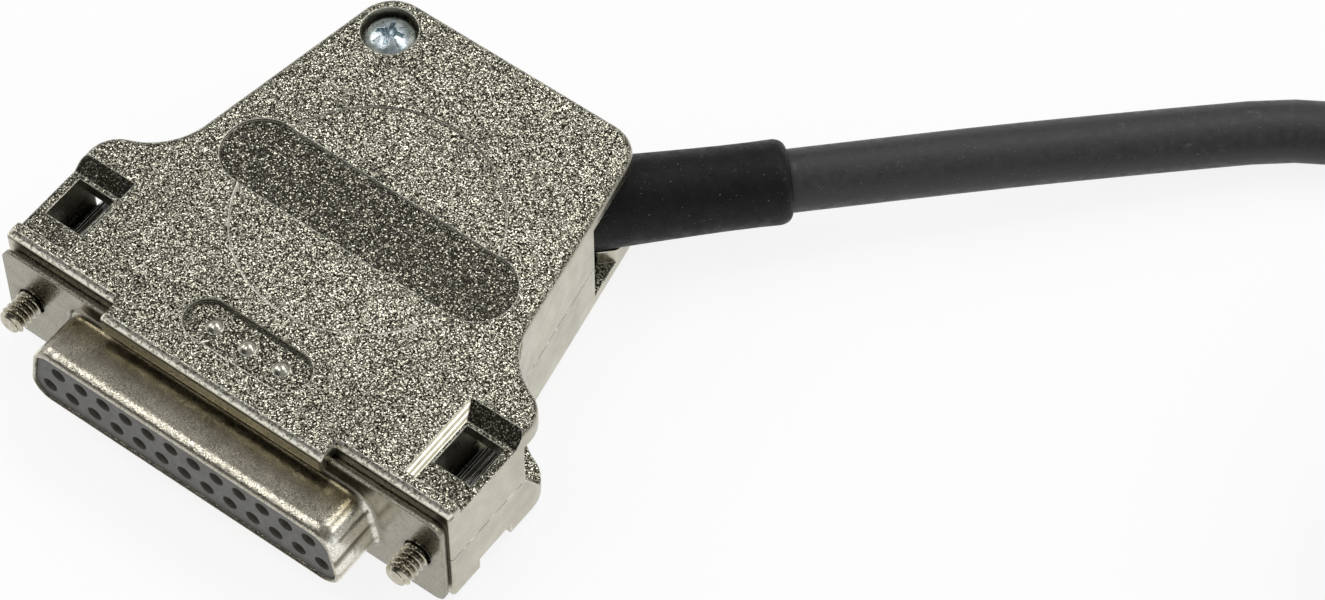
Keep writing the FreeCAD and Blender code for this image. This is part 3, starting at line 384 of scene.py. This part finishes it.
# Drawn sheet with a satin grain and soft edges. The socket's wall rolls round at its front, and
# its top is painted darker and browner toward the flange, as shade and reflection under the hood's
# lip.
def tin_surface():
    s = Surface("shell_tin")
    y = s.split(s.place)[1]
    normal_x, _, normal_z = s.split(s.normal)
    roll = s.inside(y, ROLL_Y, ROLL_WIDTH)
    rolled = s.leaned(s.soft_edge(0.4 * MM), s.times(roll, -0.46))
    waves = s.stretched_noise((90, 260, 260))
    grain = s.grains(TIN_GRAIN)
    cloud = s.noise(420, 3.0, 0.55)
    plate = s.shades(cloud, (0.34, 0.32, 0.255), (0.395, 0.375, 0.305))
    wall = s.shades(cloud, (0.56, 0.53, 0.44), (0.68, 0.65, 0.545))
    shaded_tint = s.shades(cloud, (0.20, 0.165, 0.095), (0.34, 0.295, 0.195))
    # Painted highlight streaks on the socket's end walls.
    highlight_streaks = s.ramp(s.stretched_noise((260, 45, 800)),
                     [(0.34, (0.26, 0.24, 0.185)), (0.43, (0.80, 0.77, 0.65)),
                      (0.54, (1.0, 0.98, 0.88))])
    wall = s.blend(s.span(s.size(normal_x), 0.35, 0.7), wall, highlight_streaks)
    # Painted shade and reflection: the top grows darker and browner toward the flange.
    shade_toward_flange = s.add(s.beyond(y, -5.0, 4.4), s.times(waves, 0.2))
    colour = s.blend(s.times(shade_toward_flange, s.span(normal_z, 0.6, 0.9)), wall, shaded_tint)
    colour = s.blend(s.beyond(y, FLANGE_Y, 0.2), colour, plate)
    # Painted shade in gaps and corners, from ambient occlusion.
    gap_shade = s.times(s.span(s.occlusion_for_shade(1.4 * MM), 0.95, 0.45), 0.75)
    colour = s.blend(gap_shade, colour, (0.07, 0.06, 0.042))
    # Each grain's own tone, with painted glints on the brightest; the rolled rim is evened out.
    grain_tone_and_glint = s.ramp(grain, [(0.1, (0.55, 0.54, 0.52)), (0.6, (0.95, 0.95, 0.95)), (0.9, (1, 1, 1))])
    grain_tone_and_glint = s.blend(s.number(roll, 0.55, 1.0), (0.92, 0.92, 0.92), grain_tone_and_glint)
    height = s.add(s.times(waves, 1.6), s.times(grain, 0.12))
    rough = s.add(s.between(s.noise(1800, 3.0), 0.17, 0.26), s.times(roll, 0.10))
    bumped = s.bump(height, 0.05 * MM, 0.7, rolled)
    return s.set(Base_Color=s.blend(1.0, colour, grain_tone_and_glint, "MULTIPLY"), Metallic=1.0,
                 Roughness=rough, Normal=s.facets(TIN_GRAIN, s.number(roll, 0.07, 0.17), bumped))


def moulded_surface():
    s = Surface("insulator_grey")
    colour = s.shades(s.noise(1500, 4.0, 0.6), (0.088, 0.086, 0.077), (0.142, 0.139, 0.126))
    return s.set(Base_Color=colour, Roughness=s.between(s.noise(3000), 0.42, 0.6),
                 Normal=s.bump(s.noise(5000), 0.02 * MM, 0.5, s.soft_edge(0.08 * MM)))


def gold_surface():
    s = Surface("contact_gold")
    turned = s.stretched_noise((500, 16000, 500))
    colour = s.shades(s.noise(2500, 3.0), (0.62, 0.38, 0.10), (0.88, 0.62, 0.24))
    return s.set(Base_Color=colour, Metallic=1.0, Roughness=s.between(turned, 0.16, 0.34),
                 Normal=s.bump(turned, 0.008 * MM, 0.6))


# The closing screw's place in millimetres, and how far its marks are turned.
CLOSING_SCREW_PLACE = (-12.3, 41.5)
MARK_TURN = math.radians(65)


# Blue-passivated screw: turned rings on the head and four short marks between the slots.
def screw_surface():
    s = Surface("screw_zinc")
    x, y, z = s.split(s.place)
    from_x = s.minus(x, CLOSING_SCREW_PLACE[0] * MM)
    from_y = s.minus(y, CLOSING_SCREW_PLACE[1] * MM)
    radius = s.distance(from_x, from_y)
    along = s.add(s.times(from_x, math.cos(MARK_TURN)), s.times(from_y, math.sin(MARK_TURN)))
    across = s.minus(s.times(from_y, math.cos(MARK_TURN)), s.times(from_x, math.sin(MARK_TURN)))
    nearest = s.smaller(s.size(along), s.size(across))
    mark = s.times(s.inside(nearest, 0.11, 0.05), s.beyond(radius, 1.05, 0.1),
                   s.inside(radius, 1.95, 0.15), s.beyond(z, 6.3, 0.3))
    cloud = s.noise(900, 4.0, 0.6)
    colour = s.ramp(cloud, [(0.3, (0.42, 0.49, 0.52)), (0.5, (0.62, 0.70, 0.74)),
                            (0.72, (0.84, 0.90, 0.92))])
    colour = s.blend(s.times(mark, 0.55), colour, (0.10, 0.11, 0.115))
    height = s.minus(s.times(s.ripple(radius, 0.13), 0.05), mark)
    height = s.add(height, s.times(s.noise(3000, 3.0), 0.4))
    return s.set(Base_Color=colour, Metallic=1.0, Roughness=s.between(cloud, 0.22, 0.36),
                 Normal=s.bump(height, 0.06 * MM, 0.7, s.soft_edge(0.12 * MM)))


def metal_surface(name, dark, light, least_rough, most_rough, grain):
    s = Surface(name)
    # Painted shade in gaps and corners, from ambient occlusion.
    gap_shade = s.times(s.span(s.occlusion_for_shade(0.5 * MM), 0.85, 0.4), 0.8)
    colour = s.shades(s.noise(grain, 4.0, 0.6), dark, light)
    colour = s.blend(gap_shade, colour, [0.1 * c for c in dark])
    return s.set(Base_Color=colour, Metallic=1.0,
                 Roughness=s.between(s.noise(grain * 2.1, 3.0), least_rough, most_rough),
                 Normal=s.bump(s.noise(grain * 3.3), 0.01 * MM, 0.5))


# Glossy black moulding with a little dust, and a painted highlight along its edges.
def grip_surface():
    s = Surface("grip_black")
    dust = s.times(s.span(s.noise(5200, 3.0, 0.7), 0.66, 0.74), 0.25)
    edge_normal = s.soft_edge(0.12 * MM)
    colour = s.shades(s.noise(1400, 3.0), (0.009, 0.0085, 0.008), (0.016, 0.0155, 0.0145))
    colour = s.blend(dust, colour, (0.25, 0.25, 0.24))
    # Painted highlight along the ridges' softened edges.
    colour = s.blend(s.painted_edge_highlight(edge_normal, 0.86), colour, (0.95, 0.95, 0.92))
    return s.set(Base_Color=colour, Roughness=s.between(s.noise(2600), 0.14, 0.24),
                 Coat_Weight=1.0, Coat_Roughness=0.1, Specular_IOR_Level=0.8,
                 Normal=s.bump(s.noise(1800), 0.02 * MM, 0.4, edge_normal))


# Rubber and jacket share a dusty, scuffed black. The sleeve is blacker.
def rubber_surface(name, dark, light, dust_amount, cloud_scale, shine):
    s = Surface(name)
    colour = s.shades(s.noise(cloud_scale, 4.0, 0.6), dark, light)
    speck = s.span(s.noise(4300, 2.0, 0.6), 0.69, 0.75)
    scuff = s.span(s.stretched_noise((450, 450, 1900), 4.0, 0.65), 0.62, 0.75)
    marks = s.larger(s.times(speck, dust_amount), s.times(scuff, dust_amount * 0.3))
    colour = s.blend(marks, colour, (0.42, 0.42, 0.40))
    height = s.add(s.noise(3200, 3.0, 0.6), s.times(s.noise(700), 1.2))
    return s.set(Base_Color=colour, Roughness=s.between(s.noise(1100, 3.0), 0.42, 0.58),
                 Specular_IOR_Level=shine, Normal=s.bump(height, 0.04 * MM, 0.55))


def tie_surface():
    s = Surface("tie_black")
    teeth = s.ripple(s.split(s.place)[2], 0.9)
    colour = s.shades(s.noise(1600, 3.0), (0.011, 0.011, 0.012), (0.022, 0.022, 0.022))
    height = s.add(s.times(teeth, 0.3), s.noise(2600))
    return s.set(Base_Color=colour, Roughness=s.between(s.noise(2000), 0.3, 0.45),
                 Normal=s.bump(height, 0.05 * MM, 0.5, s.soft_edge(0.15 * MM)))


WIRE_COLOURS = [(0.55, 0.02, 0.02), (0.02, 0.06, 0.42), (0.02, 0.28, 0.06), (0.62, 0.46, 0.02),
                (0.60, 0.60, 0.58), (0.17, 0.06, 0.02), (0.018, 0.018, 0.018), (0.55, 0.16, 0.02)]


# Wire insulation in one colour, or in all the colours by wire when none is given.
def wire_surface(name, colour=None):
    s = Surface(name)
    if colour is None:
        steps = [(i / len(WIRE_COLOURS), c) for i, c in enumerate(WIRE_COLOURS)]
        base = s.ramp(s.source("NewGeometry", "Random Per Island"), steps, constant=True)
    else:
        base = s.shades(s.noise(1200), [0.82 * c for c in colour], colour)
    mottle = s.shades(s.noise(2500, 3.0), (0.82, 0.82, 0.82), (1, 1, 1))
    return s.set(Base_Color=s.blend(1.0, base, mottle, "MULTIPLY"),
                 Roughness=s.between(s.noise(1800), 0.3, 0.45),
                 Normal=s.bump(s.noise(4000), 0.01 * MM, 0.4))


surfaces = {
    "hood_nickel": hood_surface(),
    "shell_tin": tin_surface(),
    "insulator_grey": moulded_surface(),
    "contact_gold": gold_surface(),
    "screw_zinc": screw_surface(),
    "clamp_steel": metal_surface(
        "clamp_steel", (0.36, 0.36, 0.35), (0.56, 0.56, 0.54), 0.26, 0.4, 1300),
    "ferrule_brass": metal_surface(
        "ferrule_brass", (0.48, 0.33, 0.12), (0.66, 0.48, 0.20), 0.22, 0.36, 1400),
    "jackscrew_nickel": metal_surface(
        "jackscrew_nickel", (0.36, 0.33, 0.25), (0.62, 0.585, 0.47), 0.14, 0.24, 1700),
    "grip_black": grip_surface(),
    "relief_rubber": rubber_surface(
        "relief_rubber", (0.0050, 0.0050, 0.0050), (0.0095, 0.0094, 0.0090), 0.4, 900, 0.2),
    "cable_jacket": rubber_surface(
        "cable_jacket", (0.026, 0.026, 0.026), (0.042, 0.042, 0.041), 0.35, 1100, 0.4),
    "tie_black": tie_surface(),
    "wire_insulation": wire_surface("wire_insulation"),
}

BARE_NODES = [
    ("hood_nickel", ["upper_shell", "lower_shell"]),
    ("shell_tin", ["connector_front_shell", "connector_rear_shell"]),
    ("insulator_grey", ["connector_insulator"]),
    ("contact_gold", [f"socket_contact_{i:02d}" for i in range(1, 26)]),
    ("screw_zinc", ["closing_screw"]),
    ("clamp_steel", ["cable_clamp", "cable_clamp_screws"]),
    ("ferrule_brass", ["shield_ferrule"]),
    ("jackscrew_nickel", ["left_jackscrew", "right_jackscrew"]),
    ("grip_black", ["left_jackscrew_grip", "right_jackscrew_grip"]),
    ("relief_rubber", ["cable_bend_relief"]),
    ("cable_jacket", ["cable", "cable_coil"]),
    ("tie_black", ["cable_tie"]),
    ("wire_insulation", ["inner_wires", "cable_end_cores"]),
]
for surface_name, names in BARE_NODES:
    for name in names:
        for place in nodes[name].material_slots:
            place.material = surfaces[surface_name]


def add_object(name, data, body):
    piece = bpy.data.objects.new(name, data)
    bpy.context.scene.collection.objects.link(piece)
    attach(piece, body)
    return piece


# Free cable, in millimetres and degrees: the route's points, then a coil of a little over
# eight turns, three across and three up.
CABLE_R = 3.15
ROUTE = [(2.82, 31.12, 0.0), (34.29, 62.59, 0.0), (49.3, 79.0, -2.05), (68.0, 98.0, -3.8),
         (111.14, 107.17, -3.31), (120.82, 109.23, -3.2)]
COIL_CENTRE = (128.68, 72.25)
COIL_START = 102.0
OUTER, MIDDLE, INNER = 37.8, 31.5, 25.2
LOW, HALF, HIGH = -3.2, 3.1, 9.4
POINT_STEP = 15.0
# A curve runs a little inside its points, so the points are moved out by this.
CURVE_TO_POINTS = 1.0 / 0.9915
# Where each move to the next row or layer begins, the radius and height that it goes to. All
# moves take the same angle, and each layer's moves come a little before those of the layer below.
MOVE_ANGLE = 120
COIL_MOVES = [(240, MIDDLE, LOW), (600, INNER, LOW), (930, INNER, HALF), (1260, MIDDLE, HALF),
              (1620, OUTER, HALF), (1950, OUTER, HIGH), (2280, MIDDLE, HIGH), (2640, INNER, HIGH)]
COIL_LENGTH_ANGLE = 2977.5


def coil_place(angle):
    radius, height = OUTER, LOW
    for begins, to_radius, to_height in COIL_MOVES:
        t = min(max((angle - begins) / MOVE_ANGLE, 0.0), 1.0)
        t = 2 * t * t if t < 0.5 else 1 - 2 * (1 - t) * (1 - t)
        radius += (to_radius - radius) * t
        height += (to_height - height) * t
    return radius, height


def coil_point(angle, shift=0.0, lift=0.0, grow=1.0):
    radius, height = coil_place(angle)
    radius = (radius + shift) * grow
    turn = math.radians(COIL_START - angle)
    return (COIL_CENTRE[0] + radius * math.cos(turn), COIL_CENTRE[1] + radius * math.sin(turn),
            height + lift)


def smooth_curve(name, lines, thickness, materials, sides):
    data = bpy.data.curves.new(name, "CURVE")
    data.dimensions = "3D"
    data.bevel_depth = thickness * MM
    data.bevel_resolution = sides
    data.resolution_u = 6
    data.use_fill_caps = True
    for material in materials:
        data.materials.append(material)
    for index, line in enumerate(lines):
        spline = data.splines.new("NURBS")
        spline.points.add(len(line) - 1)
        for point, place in zip(spline.points, line):
            point.co = (place[0] * MM, place[1] * MM, place[2] * MM, 1.0)
        spline.order_u = 3
        spline.use_endpoint_u = True
        spline.use_smooth = True
        spline.material_index = min(index, len(materials) - 1)
    return add_object(name, data, "hood")


cord_line = list(ROUTE)
angle = POINT_STEP
while angle < COIL_LENGTH_ANGLE:
    cord_line.append(coil_point(angle, grow=CURVE_TO_POINTS))
    angle += POINT_STEP
cord_line.append(coil_point(COIL_LENGTH_ANGLE))
cord = smooth_curve("free_cable", [cord_line], CABLE_R, [surfaces["cable_jacket"]], sides=8)
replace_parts(cord, "cable", "cable_coil")

# The stripped cores at the cable's end, in their own colours, with bare copper tips: one in
# the middle and six round it. They sink on to the turn below as they leave the jacket.
CORES = 7
CORE_R = 0.74
CORE_RING_R = 1.52
CORE_SINK = -0.85
CORE_ANGLE = 28.0
CORE_ANGLE_MORE = 2.4
CORE_STEPS = 6
TIP_R = 0.42

core_lines = []
tip_lines = []
for i in range(CORES):
    shift, lift = (0.0, 0.0)
    if i:
        shift = CORE_RING_R * math.cos(math.radians(60 * i - 30))
        lift = CORE_RING_R * math.sin(math.radians(60 * i - 30))
    reach = CORE_ANGLE + CORE_ANGLE_MORE * (i % 3)
    line = []
    for k in range(-1, CORE_STEPS + 1):
        sink = CORE_SINK * min(max(k / 3, 0.0), 1.0)
        line.append(coil_point(COIL_LENGTH_ANGLE + reach * k / CORE_STEPS, shift, lift + sink))
    core_lines.append(line)
    last = Vector(line[-1])
    ahead = (last - Vector(line[-2])).normalized()
    tip_lines.append([tuple(last + ahead * along) for along in (-1.0, 0.5, 1.8)])
core_materials = [wire_surface(f"core_colour_{i + 1}", WIRE_COLOURS[i]) for i in range(CORES)]
cores = smooth_curve("stripped_cores", core_lines, CORE_R, core_materials, sides=3)
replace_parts(cores, "cable_end_cores")
copper = metal_surface("bare_copper", (0.62, 0.28, 0.14), (0.86, 0.45, 0.26), 0.18, 0.3, 2500)
tips = smooth_curve("core_tips", tip_lines, TIP_R, [copper], sides=2)


# Turned pieces: each ring lists its place along the line and its radius, once round.
AROUND = 48


def turned_piece(name, rings, place, body, slot, hollow=False):
    mesh = bmesh.new()
    made = []
    for ring in rings:
        made.append([mesh.verts.new(place(along, radius, 2 * math.pi * t / AROUND))
                     for t, (along, radius) in enumerate(ring)])
    pairs = list(zip(made, made[1:]))
    if hollow:
        pairs.append((made[-1], made[0]))
    for first, second in pairs:
        for t in range(AROUND):
            n = (t + 1) % AROUND
            mesh.faces.new((first[t], first[n], second[n], second[t]))
    if not hollow:
        mesh.faces.new(list(reversed(made[0])))
        mesh.faces.new(made[-1])
    bmesh.ops.recalc_face_normals(mesh, faces=mesh.faces[:])
    data = bpy.data.meshes.new(name)
    mesh.to_mesh(data)
    mesh.free()
    data.materials.append(surfaces[slot])
    data.shade_smooth()
    data.set_sharp_from_angle(angle=math.radians(38))
    piece = add_object(name, data, body)
    return piece


# The rubber sleeve, with its collar and neck in the wall and a well rounded end. Its profile
# gives the place along the cable's line and the radius.
SLEEVE_FOOT = (-14.15, 14.15)
SLEEVE_BORE_R = 3.16
SLEEVE_ROUND_FROM = 56.0
SLEEVE_LIP_R = 3.3
SLEEVE_ROUND_LENGTH = 1.3
SLEEVE_ROUND_HEIGHT = 0.93
ROUND_STEPS = 8


def on_cable_line(along, radius, turn):
    ahead = along * math.sqrt(0.5)
    aside = radius * math.cos(turn) * math.sqrt(0.5)
    return ((SLEEVE_FOOT[0] + ahead + aside) * MM, (SLEEVE_FOOT[1] + ahead - aside) * MM,
            radius * math.sin(turn) * MM)


sleeve_profile = [(33.9, SLEEVE_BORE_R), (33.9, 4.9), (35.5, 4.9), (35.5, 3.95), (37.3, 3.95),
                  (37.3, 4.6), (40.0, 4.5), (44.0, 4.37), (48.0, 4.26), (51.0, 4.2), (54.0, 4.19)]
for step in range(ROUND_STEPS + 1):
    turn = math.radians(step * 90 / ROUND_STEPS)
    sleeve_profile.append((SLEEVE_ROUND_FROM + SLEEVE_ROUND_LENGTH * math.sin(turn),
                           SLEEVE_LIP_R + SLEEVE_ROUND_HEIGHT * math.cos(turn)))
sleeve_profile.append((57.2, SLEEVE_BORE_R))
sleeve = turned_piece("bend_relief_sleeve", [[point] * AROUND for point in sleeve_profile],
                      on_cable_line, "hood", "relief_rubber", hollow=True)
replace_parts(sleeve, "cable_bend_relief")


# Jackscrews with their real thread: the outline is turned round the screw's line, and the
# thread's ridge climbs as it goes round.
SCREW_X = 23.52
THREAD_PITCH = 0.635
THREAD_R = 1.42
ROOT_R = 1.04
SCREW_TIP_R = 1.02
TIP_Y = -3.4
THREAD_END = -0.1
RINGS_PER_PITCH = 12
STEM_PROFILE = [(-0.1, 1.1), (3.15, 1.1), (3.15, 1.63), (3.27, 1.75), (3.93, 1.75),
                (4.05, 1.63), (4.05, 1.15), (13.18, 1.15), (13.3, 1.03)]
# The driver's slot in the stem's end: its middle, and its length, depth and width.
SLOT_Y = 13.1
SLOT_SIZE = (3, 1.4, 0.7)


def thread_radius(y, turn):
    phase = ((y - TIP_Y) / THREAD_PITCH - turn) % 1.0
    ridge = abs(phase * 2 - 1)
    depth = min(max((ridge - 0.12) / 0.72, 0.0), 1.0)
    radius = THREAD_R - (THREAD_R - ROOT_R) * depth
    return min(radius, SCREW_TIP_R + y - TIP_Y, THREAD_R)


def make_jackscrew(side, body):
    x_middle = side * SCREW_X
    rings = []
    steps = int(round((THREAD_END - TIP_Y) / THREAD_PITCH * RINGS_PER_PITCH))
    for k in range(steps + 1):
        y = TIP_Y + (THREAD_END - TIP_Y) * k / steps
        rings.append([(y, thread_radius(y, t / AROUND)) for t in range(AROUND)])
    rings += [[point] * AROUND for point in STEM_PROFILE]

    def on_screw_line(along, radius, turn):
        return ((x_middle + radius * math.sin(turn)) * MM, along * MM,
                radius * math.cos(turn) * MM)

    piece = turned_piece(f"{body}_threaded", rings, on_screw_line, body, "jackscrew_nickel")
    cutter = bmesh.new()
    bmesh.ops.create_cube(cutter, size=1.0)
    for vert in cutter.verts:
        sized = [c * size for c, size in zip(vert.co, SLOT_SIZE)]
        vert.co = Vector((x_middle + sized[0], SLOT_Y + sized[1], sized[2])) * MM
    tool_data = bpy.data.meshes.new("slot_tool")
    cutter.to_mesh(tool_data)
    cutter.free()
    tool = bpy.data.objects.new("slot_tool", tool_data)
    bpy.context.scene.collection.objects.link(tool)
    change = piece.modifiers.new("slot", "BOOLEAN")
    change.operation = "DIFFERENCE"
    change.solver = "EXACT"
    change.object = tool
    bpy.context.view_layer.update()
    shaped = piece.evaluated_get(bpy.context.evaluated_depsgraph_get())
    done = bpy.data.meshes.new_from_object(shaped)
    piece.modifiers.remove(change)
    piece.data = done
    bpy.data.objects.remove(tool)
    return piece


for side, body, node in ((-1, "left_screw", "left_jackscrew"),
                         (1, "right_screw", "right_jackscrew")):
    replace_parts(make_jackscrew(side, body), node)

# Floor: white to the camera and in reflections, with the object's own faint shadow kept.
# Its half size is in metres.
FLOOR_Z = -7.25 * MM
FLOOR_HALF = 3.0
FLOOR_GLOW = 0.86
floor_mesh = bmesh.new()
bmesh.ops.create_grid(floor_mesh, x_segments=1, y_segments=1, size=FLOOR_HALF)
floor_data = bpy.data.meshes.new("floor")
floor_mesh.to_mesh(floor_data)
floor_mesh.free()
floor = bpy.data.objects.new("floor", floor_data)
floor.location = (0, 0, FLOOR_Z)
bpy.context.scene.collection.objects.link(floor)

floor_material = bpy.data.materials.new("floor_white")
floor_material.use_nodes = True
tree = floor_material.node_tree
tree.nodes.remove(tree.nodes["Principled BSDF"])
white = Nodes(tree)
matte = tree.nodes.new("ShaderNodeBsdfDiffuse")
white.put((0.95, 0.95, 0.95), matte.inputs["Color"])
glow = tree.nodes.new("ShaderNodeEmission")
white.put((1, 1, 1), glow.inputs["Color"])
seen = white.larger(white.source("LightPath", "Is Camera Ray"),
                    white.source("LightPath", "Is Glossy Ray"))
seen = white.larger(seen, white.source("LightPath", "Is Transmission Ray"))
join = tree.nodes.new("ShaderNodeMixShader")
white.put(white.times(seen, FLOOR_GLOW), join.inputs[0])
white.put(matte.outputs[0], join.inputs[1])
white.put(glow.outputs[0], join.inputs[2])
white.put(join.outputs[0], tree.nodes["Material Output"].inputs["Surface"])
floor_data.materials.append(floor_material)

# World: an even grey light, and for reflections a pale room with a dim front and ceiling.
EVEN_LIGHT = 0.50
DIM_FRONT = Vector((-0.33, -0.71, 0.59)).normalized()
world = bpy.data.worlds.new("studio")
bpy.context.scene.world = world
world.use_nodes = True
room = Nodes(world.node_tree)
direction = room.source("TexCoord", "Generated")
level = room.span(room.split(direction)[2], 0.05, 0.42, 1.0, 0.30)
front = room.vector("DOT_PRODUCT", direction, DIM_FRONT[:])
level = room.times(level, room.span(front, 0.72, 0.93, 1.0, 0.15))
strength = room.number(room.source("LightPath", "Is Glossy Ray"), EVEN_LIGHT, level)
strength = room.number(room.source("LightPath", "Is Camera Ray"), strength, 1.0)
ground = room.tree.nodes["Background"]
room.put(strength, ground.inputs["Strength"])
room.put((1, 1, 1), ground.inputs["Color"])

# Soft round lamps on a dome round the object, in metres: direction, width and brightness.
LAMP_DISTANCE = 0.75
LAMPS_ROUND = Vector((0.0, 0.02, 0.0))
LAMPS = [
    ("back", (-0.12, 0.58, 0.81), 0.25, 3.4),
    ("back_right", (0.22, 0.45, 0.865), 0.26, 4.6),
    ("front", (-0.32, -0.20, 0.925), 0.26, 4.2),
    ("right", (0.68, 0.36, 0.64), 0.28, 2.8),
    ("left", (-0.80, -0.05, 0.60), 0.30, 3.4),
]
for name, toward, width, brightness in LAMPS:
    data = bpy.data.lights.new(name, "AREA")
    data.shape = "DISK"
    data.size = width
    data.energy = brightness * math.pi * math.pi * width * width / 4
    lamp = bpy.data.objects.new(name, data)
    lamp.location = Vector(toward).normalized() * LAMP_DISTANCE + LAMPS_ROUND
    lamp.rotation_euler = Vector(toward).to_track_quat("Z", "Y").to_euler()
    bpy.context.scene.collection.objects.link(lamp)
